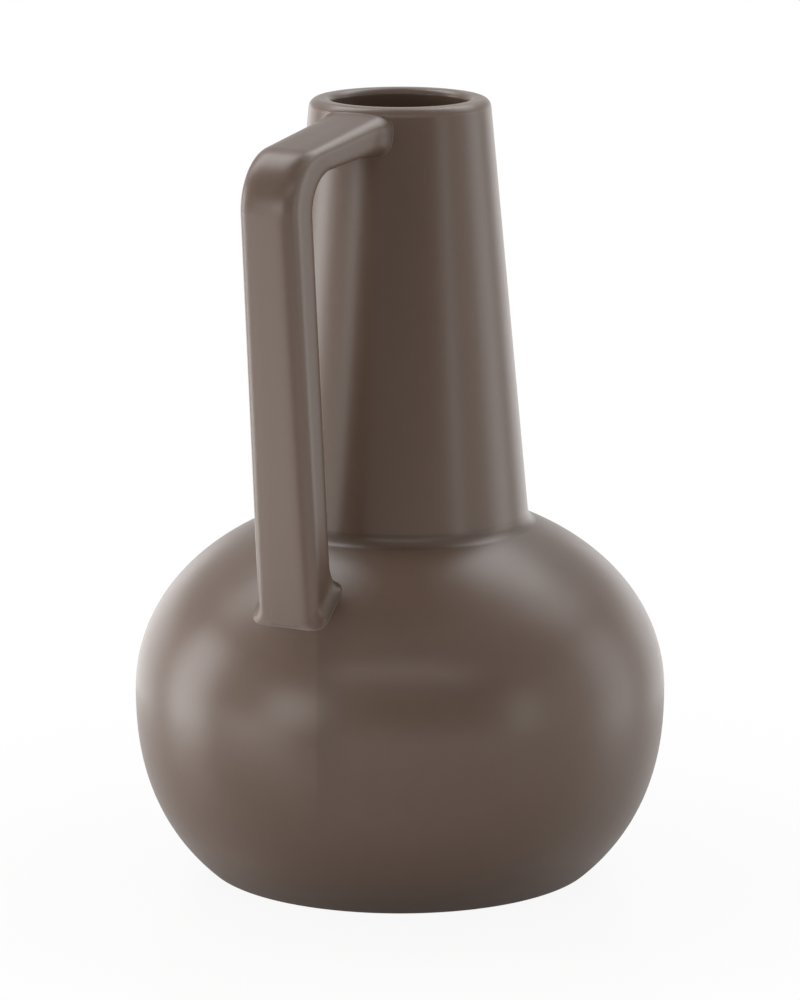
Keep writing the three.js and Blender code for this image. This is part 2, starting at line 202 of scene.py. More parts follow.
class GridFineness(bpy.types.PropertyGroup):
    """Number of faces in the curved surfaces"""

    around: count("Around", 288, 24, "Faces round the turned pieces")
    strap_around: count("Round the strap", 144, 24, "Faces round the handle")
    arc: count("Small arcs", 14, 3, "Faces across a small rounding")
    belly_outside: count("Belly outside", 110, 24, "Rings up the belly's outside")
    belly_inside: count("Belly inside", 70, 24, "Rings down the belly's inside")
    cone: count("Neck", 60, 8, "Rings up the neck's outside, and down its bore")
    arm: count("Arm", 40, 8, "Rings along the handle's arm")
    turn: count("Bend", 64, 8, "Rings round the handle's bend")
    leg: count("Leg", 80, 8, "Rings down the handle's leg")
    rim: count("Floor rim", 144, 24, "Faces round the table top")


# Faces that meet at more than SHARP_EDGE keep an edge. The glaze takes a radius of SHARPEST_RADIUS or less as
# a full bend. ACROSS is the direction across the strap.
SHARP_EDGE = math.radians(40)
SHARPEST_RADIUS = 0.003
ACROSS = np.array([0.0, 1.0, 0.0])


def crossing(f, low, high, steps=48):
    """Halves every interval between the arrays low and high until the change of sign of f in it is found."""
    low = np.array(low, float)
    high = np.array(high, float)
    starts_positive = f(low) > 0
    for _ in range(steps):
        middle = (low + high) / 2
        same = (f(middle) > 0) == starts_positive
        low = np.where(same, middle, low)
        high = np.where(same, high, middle)
    return (low + high) / 2


def signed_power(base, power):
    """The base's size to a power, with the base's own sign."""
    return np.sign(base) * np.abs(base) ** power


def full_turn(steps):
    """Angles evenly round a circle."""
    return np.linspace(0, 2 * math.pi, steps, endpoint=False)


def unit(vectors):
    """Scales vectors along the last axis to length one."""
    return vectors / np.maximum(np.linalg.norm(vectors, axis=-1, keepdims=True), 1e-12)


def arc(centre, radius, start, end, steps):
    """Points on a circle: centre + radius (cos a, sin a), with a running evenly from start to end."""
    a = np.linspace(start, end, steps + 1)
    return np.asarray(centre) + radius * np.stack([np.cos(a), np.sin(a)], axis=-1)


def rounded_corner(before, corner, after, radius, steps):
    """The arc that touches the two straight runs that meet in a corner: its centre lies on the line that
    halves the corner, at radius / sin(half the corner's angle)."""
    to_before = unit(np.subtract(before, corner))
    to_after = unit(np.subtract(after, corner))
    half = math.acos(np.clip(to_before @ to_after, -1, 1)) / 2
    centre = np.asarray(corner) + unit(to_before + to_after) * radius / math.sin(half)
    first = np.asarray(corner) + to_before * radius / math.tan(half) - centre
    last = np.asarray(corner) + to_after * radius / math.tan(half) - centre
    start = math.atan2(first[1], first[0])
    turn = math.atan2(first[0] * last[1] - first[1] * last[0], first @ last)
    return arc(centre, radius, start, start + turn, steps)


def belly_outline(a, belly, grow=0.0):
    """Radius and height of the belly at turning angles a, 0 at the widest level: each half is a superellipse,
    radius R cos(a)^(2/n) and height h + K sin(a)^(2/n), with its own reach K and fullness n."""
    upper = a > 0
    reach = np.where(upper, belly.upper_reach, belly.lower_reach) + grow
    power = 2 / np.where(upper, belly.upper_fullness, belly.lower_fullness)
    radius = (belly.radius + grow) * np.abs(np.cos(a)) ** power
    height = belly.widest_height + reach * signed_power(np.sin(a), power)
    return np.stack([radius, height], axis=-1)


def belly_angle(height, belly, grow=0.0):
    """The turning angle at which the belly's outline stands at a height."""
    offset = height - belly.widest_height
    reach = (belly.upper_reach if offset > 0 else belly.lower_reach) + grow
    fullness = belly.upper_fullness if offset > 0 else belly.lower_fullness
    return math.copysign(math.asin(min(abs(offset) / reach, 1) ** (fullness / 2)), offset)


def belly_normal(a, belly):
    """Outward normal of the belly's outline, square to the chord between two near points."""
    step = 1e-4
    chord = unit(belly_outline(a + step, belly) - belly_outline(a - step, belly))
    return np.stack([chord[..., 1], -chord[..., 0]], axis=-1)


def outside_belly(points, belly):
    """Positive outside the belly: (r / R)^n + (|z - h| / K)^n - 1."""
    offset = points[..., 2] - belly.widest_height
    reach = np.where(offset > 0, belly.upper_reach, belly.lower_reach)
    fullness = np.where(offset > 0, belly.upper_fullness, belly.lower_fullness)
    radius = np.hypot(points[..., 0], points[..., 1])
    return (radius / belly.radius) ** fullness + (np.abs(offset) / reach) ** fullness - 1


def top_angle(radius, belly, grow=0.0):
    """The turning angle at which the outline of the belly's upper half has a radius."""
    return float(crossing(lambda a: belly_outline(a, belly, grow)[..., 0] - radius, 0.0, math.pi / 2))


def neck_taper(neck):
    """Angle between the neck's outside and its axis."""
    return math.atan2(neck.foot_radius - neck.top_radius, LIP_HEIGHT - SEAT_HEIGHT)


def neck_radius(height, neck):
    """Outside radius of the neck's cone at a height."""
    return neck.foot_radius - (height - SEAT_HEIGHT) * math.tan(neck_taper(neck))


def lip_centre(neck):
    """Centre of the lip's outer rounding, which touches the cone and the top face."""
    height = LIP_HEIGHT - neck.lip_outer_radius
    return np.array([neck_radius(height, neck) - neck.lip_outer_radius / math.cos(neck_taper(neck)), height])


def outside_neck(points, neck):
    """Positive outside the neck: the distance from the cone, from the lip's rounding or from its top face."""
    radius, height = np.hypot(points[..., 0], points[..., 1]), points[..., 2]
    out, up = radius - lip_centre(neck)[0], height - lip_centre(neck)[1]
    from_lip = np.hypot(out, up) - neck.lip_outer_radius
    on_lip = up > out * math.tan(neck_taper(neck))
    from_side = np.where(on_lip, from_lip, radius - neck_radius(height, neck))
    return np.where(out < 0, height - LIP_HEIGHT, from_side)


def turned(profile, around):
    """A surface of revolution: each profile point (r, z) becomes the circle (r cos t, r sin t, z)."""
    t = full_turn(around)
    radius, height = profile[:, :1], profile[:, 1:]
    return np.stack(np.broadcast_arrays(radius * np.cos(t), radius * np.sin(t), height), axis=-1)


def grid_faces(rows, columns, closed):
    """Four-sided faces between the neighbouring rings of a grid. Each ring closes on itself, and the last
    ring joins the first where closed is true."""
    r = np.arange(rows if closed else rows - 1)[:, None]
    c = np.arange(columns)[None, :]
    this, following = r * columns, (r + 1) % rows * columns
    near, far = c, (c + 1) % columns
    corners = np.broadcast_arrays(this + near, this + far, following + far, following + near)
    return np.stack(corners, axis=-1).reshape(-1, 4)


def volume(points, faces):
    """Six times the volume inside triangles: the sum of a . (b x c), positive where they face outwards."""
    a, b, c = (points[faces[:, i]] for i in range(3))
    return float(np.einsum("ij,ij->i", a, np.cross(b, c)).sum())


def bend(rings, normals, closed):
    """How sharply a grid turns at each point, per metre and positive where it stands out: for each of its two
    directions, the part of the neighbours' directions that leads against the normal, over their distance."""
    total = np.zeros(rings.shape[:2])
    for axis in (0, 1):
        after = np.roll(rings, -1, axis) - rings
        before = np.roll(rings, 1, axis) - rings
        span = np.linalg.norm(after, axis=-1) + np.linalg.norm(before, axis=-1)
        turn = -2 * ((unit(after) + unit(before)) * normals).sum(-1) / np.maximum(span, 1e-7)
        if axis == 0 and not closed:
            turn[[0, -1]] = 0
        total += turn
    return total


def surface(name, rings, closed, poles=None):
    """Makes a closed mesh of a grid of rings. An open grid is closed by fans round its two poles, or round
    the middle of its first and last ring. The faces are listed backwards where the volume comes out
    negative. How sharply the surface turns is kept in the attribute bend, 1 being the sharpest."""
    rows, columns = rings.shape[:2]
    points = rings.reshape(-1, 3)
    quads = grid_faces(rows, columns, closed)
    triangles = np.empty((0, 3), int)
    if not closed:
        ends = np.array(poles) if poles is not None else np.stack([rings[0].mean(0), rings[-1].mean(0)])
        near = np.arange(columns)
        far = (near + 1) % columns
        first, last = len(points), len(points) + 1
        top = (rows - 1) * columns
        fans = ((first, far, near), (last, top + near, top + far))
        triangles = np.concatenate([np.stack(np.broadcast_arrays(*fan), axis=-1) for fan in fans])
        points = np.concatenate([points, ends])
    halves = np.concatenate([quads[:, [0, 1, 2]], quads[:, [0, 2, 3]], triangles])
    if volume(points, halves) < 0:
        quads, triangles = quads[:, ::-1], triangles[:, ::-1]
    mesh = bpy.data.meshes.new(name)
    mesh.from_pydata(points, [], quads.tolist() + triangles.tolist())
    mesh.validate()
    mesh.shade_smooth()
    mesh.set_sharp_from_angle(angle=SHARP_EDGE)
    normals = np.empty(len(points) * 3, np.float32)
    mesh.vertex_normals.foreach_get("vector", normals)
    turning = np.zeros(len(points))
    grid_normals = normals.reshape(-1, 3)[: rows * columns].reshape(rings.shape)
    turning[: rows * columns] = bend(rings, grid_normals, closed).ravel()
    kept = mesh.attributes.new("bend", "FLOAT", "POINT")
    kept.data.foreach_set("value", np.clip(turning * SHARPEST_RADIUS, -1, 1).astype(np.float32))
    return mesh


def belly_profile(belly, neck, fine):
    """Outline of the belly's shell from the middle of the underside round to the middle of its inner floor:
    recess, standing ring, base edge, outside, seat, inside and floor. The last points of the inside give way
    to the rounding at the floor."""
    top = top_angle(neck.foot_radius, belly)
    bottom = belly_angle(0.0, belly)
    radius = belly.base_edge_radius

    def over_table(a):
        return belly_outline(a, belly)[..., 1] - radius * (1 + belly_normal(a, belly)[..., 1])

    touching = float(crossing(over_table, bottom, 0.0))
    normal = belly_normal(touching, belly)
    edge_centre = belly_outline(touching, belly) - normal * radius
    edge = arc(edge_centre, radius, -math.pi / 2, math.atan2(normal[1], normal[0]), 2 * fine.arc)
    ring_inside = edge_centre[0] - belly.ring_width
    under = (ring_inside - belly.bevel, belly.recess)
    ring_corner = (ring_inside, 0.0)
    soft, floor_rounding, replaced = 0.0008, 0.006, 12
    outside = belly_outline(np.linspace(touching, top, fine.belly_outside), belly)[1:]
    bore = neck.foot_radius - neck.wall
    bore_angle = top_angle(bore, belly, -belly.wall)
    inner_low = belly_angle(belly.base_thickness, belly, -belly.wall)
    inside = belly_outline(np.linspace(bore_angle, inner_low, fine.belly_inside), belly, -belly.wall)
    floor_middle = (0.0, belly.base_thickness)
    floor_corner = rounded_corner(inside[-replaced], inside[-1], floor_middle, floor_rounding, fine.arc)
    recess = rounded_corner((0.0, belly.recess), under, ring_corner, 2 * soft, fine.arc)
    ring = rounded_corner(under, ring_corner, edge[0], soft, fine.arc)
    seat = [(bore, SEAT_HEIGHT)]
    return np.concatenate([recess, ring, edge, outside, seat, inside[:-replaced], floor_corner])


def neck_profile(neck, fine):
    """Outline of the neck's wall, a closed loop from its foot up the cone, over the lip and down the bore."""
    bore_top = neck.top_radius - neck.lip_wall
    bore_foot = neck.foot_radius - neck.wall
    outer = arc(lip_centre(neck), neck.lip_outer_radius, neck_taper(neck), math.pi / 2, 2 * fine.arc)
    inner_centre = (bore_top + neck.lip_inner_radius, LIP_HEIGHT - neck.lip_inner_radius)
    inner = arc(inner_centre, neck.lip_inner_radius, math.pi / 2, math.pi, fine.arc)
    rise = np.linspace(0, 1, fine.cone)[:, None]
    foot, bore = np.array([neck.foot_radius, SEAT_HEIGHT]), np.array([bore_foot, SEAT_HEIGHT])
    up, down = foot + (outer[0] - foot) * rise[:-1], inner[-1] + (bore - inner[-1]) * rise[1:]
    return np.concatenate([up, outer, inner, down])


def neck_lute_profile(belly, neck, lutes, fine):
    """Outline of the fillet round the neck's foot: an arc that touches the belly and the neck, carried on a
    little below both of their surfaces so that no edge shows, and closed inside the joint."""
    radius = lutes.neck_radius
    taper = neck_taper(neck)

    def centre_at(a):
        return belly_outline(a, belly) + belly_normal(a, belly) * radius

    def from_neck(a):
        centre = centre_at(a)
        return (centre[..., 0] - neck_radius(centre[..., 1], neck)) * math.cos(taper) - radius

    touching = float(crossing(from_neck, 0.0, top_angle(neck.foot_radius, belly)))
    normal = belly_normal(touching, belly)
    on_belly = math.atan2(normal[1], normal[0]) - math.pi
    hollow = arc(centre_at(touching), radius, on_belly, taper - math.pi, 2 * fine.arc)
    sinking = np.linspace(1, 0, 5)[:-1, None]
    run, run_angle, depth = 0.002, 0.02, 0.00012
    below = touching - run_angle * sinking[:, 0]
    tail = belly_outline(below, belly) - belly_normal(below, belly) * depth * sinking
    up_neck = np.array([-math.sin(taper), math.cos(taper)])
    into_neck = np.array([-math.cos(taper), -math.sin(taper)])
    head = hollow[-1] + up_neck * run * sinking[::-1] + into_neck * depth * sinking[::-1]
    deep = neck.foot_radius - run / 2
    inside = [(deep, SEAT_HEIGHT + run), (deep, SEAT_HEIGHT - run)]
    return np.concatenate([tail, hollow, head, inside])


def handle_side(at_neck, arm_slope, at_leg, leg_lean, bend_radius, wall, low):
    """One side of the handle in its own plane, x outwards from the axis and y up. Returns a function of t: a
    straight run from inside the neck's wall for t from 0 to 1, an arc to 2, and a straight run down to 3."""
    arm = np.array([math.cos(arm_slope), -math.sin(arm_slope)])
    leg = np.array([-math.sin(leg_lean), -math.cos(leg_lean)])
    between = np.subtract(at_leg, at_neck)
    along = (between[0] * leg[1] - between[1] * leg[0]) / (arm[0] * leg[1] - arm[1] * leg[0])
    corner = np.asarray(at_neck) + arm * along
    turn = math.acos(arm @ leg)
    setback = bend_radius * math.tan(turn / 2)
    start = np.asarray(at_neck) - arm * wall
    arm_end = corner - arm * setback
    leg_start = corner + leg * setback
    inward = np.array([arm[1], -arm[0]])
    centre = arm_end + inward * bend_radius
    leg_end = leg_start + leg * (leg_start[1] - low) / -leg[1]

    def place(t):
        t = np.asarray(t)[..., None]
        a = (t - 1) * turn
        bent = centre + bend_radius * (arm * np.sin(a) - inward * np.cos(a))
        straight = start + (arm_end - start) * t
        down = leg_start + (leg_end - leg_start) * (t - 2)
        return np.where(t < 1, straight, np.where(t < 2, bent, down))

    return place


def along_strap(t, at_neck, in_bend, at_belly):
    """A size that runs straight from the neck's to the bend's value, keeps that, and runs to the belly's."""
    return np.interp(t, (0, 1, 2, 3), (at_neck, in_bend, in_bend, at_belly))


class Strap:
    """The handle's bar. Its skin at (t, a) is a superellipse between the outer and the inner side: from
    their middle, across by half the thickness times sin(a)^(2/n), and sideways by half the width times
    cos(a)^(2/n)."""

    def __init__(self, shape, belly, neck):
        height = LIP_HEIGHT - shape.top_drop
        root = neck_radius(height, neck)
        leg = np.array([shape.leg_reach, height])
        inner_leg = leg - (shape.leg_top_thickness, 0)
        under = (root, height - shape.root_thickness)
        outer = shape.arm_top_slope, leg, shape.leg_outer_lean, shape.bend_outer_radius
        inner = shape.arm_under_slope, inner_leg, shape.leg_inner_lean, shape.bend_inner_radius
        self.shape = shape
        self.outer = handle_side((root, height), *outer, neck.wall, belly.widest_height)
        self.inner = handle_side(under, *inner, neck.wall, belly.widest_height)

    def across(self, t):
        """Thickness of the bar and the direction from its inner to its outer side, in space."""
        span = self.outer(t) - self.inner(t)
        thickness = np.linalg.norm(span, axis=-1)
        flat = np.zeros_like(thickness)
        return thickness, np.stack([-span[..., 0], flat, span[..., 1]], axis=-1) / thickness[..., None]

    def width(self, t):
        """Width of the bar, wider in the bend than at its ends."""
        return along_strap(t, self.shape.end_width, self.shape.bend_width, self.shape.end_width)

    def squareness(self, t):
        """Exponent of the bar's section, which gets squarer towards the foot."""
        shape = self.shape
        return along_strap(t, shape.neck_squareness, shape.bend_squareness, shape.foot_squareness)

    def skin(self, t, a):
        """Points on the bar's surface."""
        thickness, across = self.across(t)
        middle = (self.outer(t) + self.inner(t)) / 2
        power = 2 / self.squareness(t)
        c, s = np.cos(a), np.sin(a)
        side = signed_power(c, power) * self.width(t) / 2
        depth = signed_power(s, power) * thickness / 2
        centre = np.stack([-middle[..., 0], side, middle[..., 1]], axis=-1)
        return centre + across * depth[..., None]

    def normal(self, t, a):
        """Normals of the bar's surface, in the plane of its section."""
        thickness, across = self.across(t)
        power = 2 - 2 / self.squareness(t)
        c, s = np.cos(a), np.sin(a)
        deep = signed_power(s, power) / thickness
        wide = signed_power(c, power) / self.width(t)
        return unit(across * deep[..., None] + ACROSS * wide[..., None])


def strap_rings(strap, belly, neck, fine):
    """Rings of the handle: along each line of the bar's skin, from just inside the neck's surface to just
    inside the belly's, so that both ends follow the pot."""
    a = full_turn(fine.strap_around)
    at_neck, at_belly = strap_ends(strap, a, belly, neck)
    sunk = 0.012
    arm = np.linspace(0, 1, fine.arm, endpoint=False)[:, None]
    turn = np.linspace(1, 2, fine.turn, endpoint=False)[:, None]
    leg = np.linspace(0, 1, fine.leg)[:, None]
    first = at_neck - sunk
    last = at_belly + sunk
    t = np.concatenate([first + (1 - first) * arm, turn + np.zeros_like(a), 2 + (last - 2) * leg])
    return strap.skin(t, np.broadcast_to(a, t.shape))


def strap_ends(strap, a, belly, neck):
    """Where each line of the bar's skin passes through the neck's and the belly's surface."""
    start = np.zeros_like(a)
    at_neck = crossing(lambda t: outside_neck(strap.skin(t, a), neck), start, start + 1)
    at_belly = crossing(lambda t: outside_belly(strap.skin(t, a), belly), start + 2, start + 3)
    return at_neck, at_belly


def onto_pot(points, direction, outside):
    """Moves each point along its direction to the nearest place where the pot's surface is crossed."""
    farthest = 0.012
    tries = np.linspace(-farthest, farthest, 97)
    values = outside(points[..., None, :] + direction[..., None, :] * tries[:, None])
    changes = (values[..., 1:] > 0) != (values[..., :-1] > 0)
    middles = (tries[1:] + tries[:-1]) / 2
    nearest = np.where(changes, np.abs(middles), np.inf).argmin(-1)
    low, high = tries[nearest], tries[nearest + 1]
    found = crossing(lambda s: outside(points + direction * s[..., None]), low, high, 30)
    return points + direction * found[..., None]


def slip_reaches(lutes, end):
    """Reach of the slip at one end, in front, at its front and back corners and behind, and its rise."""
    return [getattr(lutes, f"{end}_{part}") for part in ("front", "corner", "side", "back", "rise")]


def lute_rings(strap, t, outwards, outside, reaches, lip, fine):
    """The fillet round one end of the handle. Across it the outline is a hollow quarter ellipse from the
    bar's skin to the pot. Its reach is a superellipse round the bar, small in front, wider at the sides and
    widest behind, so that its front corners stand out in the plane of the bar's front face. It starts a
    little inside the bar, ends in a fine rounded edge that stands off the pot, and is closed inside both."""
    a = full_turn(fine.strap_around)
    step = 1e-4
    place = strap.skin(t, a)
    normal = strap.normal(t, a)
    front = strap.across(t)[1]
    away = unit(strap.skin(t + step * outwards, a) - place)
    facing = (normal * front).sum(-1)
    aside = normal[:, 1]
    squared = 0.5
    in_front, front_corner, back_corner, behind, steepness = reaches
    sideways = front_corner + (back_corner - front_corner) * (1 - facing) / 2
    forwards = np.where(facing > 0, in_front, behind)
    reach = front * (signed_power(facing, squared) * forwards)[:, None]
    reach = reach + ACROSS * (signed_power(aside, squared) * sideways)[:, None]
    size = np.linalg.norm(reach, axis=-1, keepdims=True)
    rise = size * steepness
    slant = np.arcsin(1 - lip / rise) * np.linspace(0, 1, 2 * fine.arc + 1)
    out = size * (1 - np.cos(slant))
    up = rise * (1 - np.sin(slant))
    fall = np.linspace(0, math.pi / 2, 6)[1:]
    bar, edge = np.zeros_like(size), out[:, -1:]
    lip_width, sunk = 0.7 * lip, 0.0006
    # Out from the bar and up from the pot: inside the bar, down the hollow, over the edge, and closed.
    runs = (
        (bar + (-sunk, -0.0001, -0.00002), rise + (0.002, 0.0012, 0.0005)),
        (out, up),
        (edge + lip_width * np.sin(fall), bar + lip * np.cos(fall)),
        (edge + (lip_width, lip_width), bar + (-0.00025, -sunk)),
        (bar - sunk, bar - sunk),
    )
    out, up = (np.hstack(parts) for parts in zip(*runs))
    foot = place[:, None, :] + unit(reach)[:, None, :] * out[..., None]
    direction = np.broadcast_to(away[:, None, :], foot.shape)
    return onto_pot(foot, direction, outside) + direction * up[..., None]


def empty_tree(owner):
    """The node tree of a material or world, with nothing in it."""
    owner.use_nodes = True
    owner.node_tree.nodes.clear()
    return owner.node_tree


def node(tree, kind, inputs=(), **settings):
    """Adds a shader node, sets its properties, and fills its inputs with values or links."""
    made = tree.nodes.new(kind)
    for key, value in settings.items():
        setattr(made, key, value)
    for key, value in dict(inputs).items():
        if isinstance(value, bpy.types.NodeSocket):
            tree.links.new(value, made.inputs[key])
        else:
            made.inputs[key].default_value = value
    return made


def calculate(tree, operation, value, *others):
    """Works from left to right through the values, or on one value alone."""
    for other in others or (0.0,):
        value = node(tree, "ShaderNodeMath", {0: value, 1: other}, operation=operation).outputs["Value"]
    return value


def times(tree, *values):
    return calculate(tree, "MULTIPLY", *values)


def plus(tree, *values):
    return calculate(tree, "ADD", *values)


def height_of(tree, place):
    return node(tree, "ShaderNodeSeparateXYZ", {"Vector": place}).outputs["Z"]


def along(tree, place, direction):
    """How far a place lies along a direction."""
    made = node(tree, "ShaderNodeVectorMath", {0: place, 1: direction}, operation="DOT_PRODUCT")
    return made.outputs["Value"]


def noise(tree, place, scale, detail=2.0, roughness=0.5):
    inputs = {"Vector": place, "Scale": scale, "Detail": detail, "Roughness": roughness}
    return node(tree, "ShaderNodeTexNoise", inputs).outputs["Fac"]


def remap(tree, value, from_low, from_high, to_low, to_high, smooth=False):
    kind = "SMOOTHSTEP" if smooth else "LINEAR"
    ends = {"From Min": from_low, "From Max": from_high, "To Min": to_low, "To Max": to_high}
    inputs = {"Value": value, **ends}
    return node(tree, "ShaderNodeMapRange", inputs, interpolation_type=kind).outputs["Result"]


def fade(tree, value, start, end, share=1.0):
    """Softly from 0, where the value is at start, to the share, where it is at end."""
    return remap(tree, value, start, end, 0.0, share, smooth=True)


def swing(tree, pattern, low, high):
    """A noise pattern spread from low to high: nearly all of its values lie between 0.3 and 0.7."""
    return remap(tree, pattern, 0.3, 0.7, low, high)


def mix(tree, factor, first, second, blend="MIX"):
    settings = {"data_type": "RGBA", "blend_type": blend, "clamp_factor": True}
    return node(tree, "ShaderNodeMix", {0: factor, 6: first, 7: second}, **settings).outputs[2]


def opaque(rgb):
    return (*rgb, 1.0)


def grey_rgb(value):
    return (value, value, value, 1.0)


BLACK, WHITE = grey_rgb(0.0), grey_rgb(1.0)


def grey(tree, value):
    """A colour of equal parts from one number."""
    return node(tree, "ShaderNodeCombineColor", {"Red": value, "Green": value, "Blue": value}).outputs[0]


# The glaze's patterns. A noise has waves in a metre, layers of detail and their roughness. Specks have cells
# in a metre, a radius in metres and the share of the cells that have one.
DRIFT = (16.0, 2.0)
MOTTLE = (190.0, 4.0, 0.62)
GRAIN = (1500.0, 2.0, 0.7)
PEEL = (330.0, 1.0)
SAND = (2600.0, 3.0, 0.8)
PALE_SPECKS = (95.0, 0.00033, 0.1)
PINHOLES = (120.0, 0.00028, 0.08)


def specks(tree, place, scale, size, share):
    """Small round spots: the inside of a few cells of a cell pattern, 1 in a spot and 0 elsewhere."""
    cells = node(tree, "ShaderNodeTexVoronoi", {"Vector": place, "Scale": scale, "Randomness": 1.0})
    chance = node(tree, "ShaderNodeSeparateColor", {"Color": cells.outputs["Color"]}).outputs["Red"]
    chosen = calculate(tree, "LESS_THAN", chance, share)
    spot = fade(tree, cells.outputs["Distance"], size * scale, size * scale / 2)
    return times(tree, chosen, spot)


def mould_seam_shade(tree, place, finish):
    """Mask of painted shade beside the mould's parting line, where the belly turns a little away from the
    lamps:
    1 just past the parting plane, to the handle's near side, fading away from it and down the belly. The line
    is where that upright plane cuts the belly, straight down from the handle's foot."""
    turn = finish.seam_azimuth
    out = along(tree, place, (math.cos(turn), math.sin(turn), 0.0))
    aside = along(tree, place, (-math.sin(turn), math.cos(turn), 0.0))
    aside = plus(tree, aside, finish.seam_offset)
    up = height_of(tree, place)
    past = times(tree, fade(tree, aside, -0.0005, 0.0006), fade(tree, aside, 0.014, 0.001))
    return times(tree, past, remap(tree, out, 0.0, 0.02, 0.0, 1.0), fade(tree, up, 0.03, 0.065))


def glaze_material(name, finish, on_belly=False):
    """Satin stoneware glaze. Its tone drifts slowly and is finely mottled. Over an edge it is paler, partly
    glaze run thinner and partly a painted edge highlight; in a hollow it is darker, partly gathered glaze and
    partly painted shade. It has fine grain and a few pinholes. The belly also has painted shade beside its
    mould's parting line, and bare clay on its standing ring."""
    material = bpy.data.materials.new(name)
    tree = empty_tree(material)
    place = node(tree, "ShaderNodeTexCoord").outputs["Object"]
    bent = node(tree, "ShaderNodeAttribute", attribute_name="bend").outputs["Fac"]

    drift, mottle, grain, peel = (noise(tree, place, *kind) for kind in (DRIFT, MOTTLE, GRAIN, PEEL))
    pale_specks = specks(tree, place, *PALE_SPECKS)
    pinholes = specks(tree, place, *PINHOLES)

    fine_tone = plus(tree, swing(tree, mottle, -0.025, 0.025), swing(tree, grain, -0.03, 0.03))
    tone = plus(tree, swing(tree, drift, 0.965, 1.02), fine_tone)
    # Paler on sharp edges: glaze run thinner, and a painted edge highlight.
    thin_and_highlight = fade(tree, bent, 0.12, 0.9, finish.thinning_and_highlight)
    # Darker in hollows: gathered glaze, and painted shade in the hollows round the joints.
    pooled_and_shade = fade(tree, bent, -0.1, -0.8, finish.pooling_and_shade)
    shade = mix(tree, thin_and_highlight, opaque(finish.colour), opaque(finish.thin_glaze_and_highlight_colour))
    shade = mix(tree, pooled_and_shade, shade, opaque(finish.pooled_glaze_and_shade_colour))
    shade = mix(tree, 1.0, shade, grey(tree, tone), "MULTIPLY")
    if on_belly:
        # Painted shade beside the mould's parting line, mixed towards black.
        seam = times(tree, mould_seam_shade(tree, place, finish), finish.seam)
        shade = mix(tree, seam, shade, BLACK)
    in_specks = times(tree, pale_specks, finish.specks)
    shade = mix(tree, in_specks, shade, opaque(finish.thin_glaze_and_highlight_colour))
    in_pinholes = times(tree, pinholes, finish.pinholes)
    shade = mix(tree, in_pinholes, shade, opaque(finish.pooled_glaze_and_shade_colour))
    uneven = plus(tree, swing(tree, mottle, -0.015, 0.015), swing(tree, drift, -0.012, 0.012))
    roughness = plus(tree, uneven, finish.roughness)
    grain_height = times(tree, grain, 0.35)
    pinhole_depth = times(tree, pinholes, -1.5)
    height = plus(tree, peel, pinhole_depth, grain_height)

    if on_belly:
        wavering = plus(tree, height_of(tree, place), swing(tree, mottle, -0.00015, 0.00015))
        bare = remap(tree, wavering, finish.glaze_line - 0.0001, finish.glaze_line + 0.0001, 1.0, 0.0)
        sand = noise(tree, place, *SAND)
        clay = mix(tree, 1.0, opaque(finish.clay), grey(tree, swing(tree, sand, 0.82, 1.1)), "MULTIPLY")
        shade = mix(tree, bare, shade, clay)
        matt = times(tree, bare, finish.clay_roughness - finish.roughness)
        roughness = plus(tree, roughness, matt)
        height = plus(tree, height, times(tree, bare, sand))

    bump = node(tree, "ShaderNodeBump", {"Height": height, "Strength": 0.5, "Distance": finish.grain})
    inputs = {"Base Color": shade, "Roughness": roughness, "Normal": bump.outputs["Normal"], "IOR": 1.5}
    shader = node(tree, "ShaderNodeBsdfPrincipled", inputs)
    node(tree, "ShaderNodeOutputMaterial", {"Surface": shader.outputs["BSDF"]})
    return material


def put(name, data):
    """A new object in the scene."""
    made = bpy.data.objects.new(name, data)
    bpy.context.scene.collection.objects.link(made)
    return made


def add_piece(name, mesh, material, nodes):
    """Puts a finished mesh in the scene, on the vase's body and in place of its construction nodes."""
    mesh.materials.append(material)
    known = bpy.data.objects.get(name)
    if known is not None:
        known.data = mesh
        return known
    piece = put(name, mesh)
    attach(piece, BODY)
    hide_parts(*nodes)
    return piece


class VASE_OT_belly(bpy.types.Operator):
    """Make the round belly with its base, recess and hollow"""

    bl_idname = "vase.belly"
    bl_label = "Make Belly"

    def execute(self, context):
        scene = context.scene
        belly, neck, fine = scene.vase_belly, scene.vase_neck, scene.vase_fineness
        profile = belly_profile(belly, neck, fine)
        poles = [(0.0, 0.0, belly.recess), (0.0, 0.0, belly.base_thickness)]
        mesh = surface("glazed_belly", turned(profile, fine.around), False, poles)
        material = glaze_material("belly_glaze", scene.vase_glaze, on_belly=True)
        add_piece("glazed_belly", mesh, material, ["belly"])
        return {"FINISHED"}


class VASE_OT_neck(bpy.types.Operator):
    """Make the tapered neck with its rolled lip"""

    bl_idname = "vase.neck"
    bl_label = "Make Neck"

    def execute(self, context):
        scene = context.scene
        fine = scene.vase_fineness
        mesh = surface("glazed_neck", turned(neck_profile(scene.vase_neck, fine), fine.around), True)
        material = glaze_material("neck_glaze", scene.vase_glaze)
        add_piece("glazed_neck", mesh, material, ["neck"])
        return {"FINISHED"}


class VASE_OT_handle(bpy.types.Operator):
    """Make the squared strap handle"""

    bl_idname = "vase.handle"
    bl_label = "Make Handle"

    def execute(self, context):
        scene = context.scene
        belly, neck, fine = scene.vase_belly, scene.vase_neck, scene.vase_fineness
        strap = Strap(scene.vase_handle, belly, neck)
        mesh = surface("glazed_handle", strap_rings(strap, belly, neck, fine), False)
        material = glaze_material("handle_glaze", scene.vase_glaze)
        add_piece("glazed_handle", mesh, material, ["handle"])
        return {"FINISHED"}


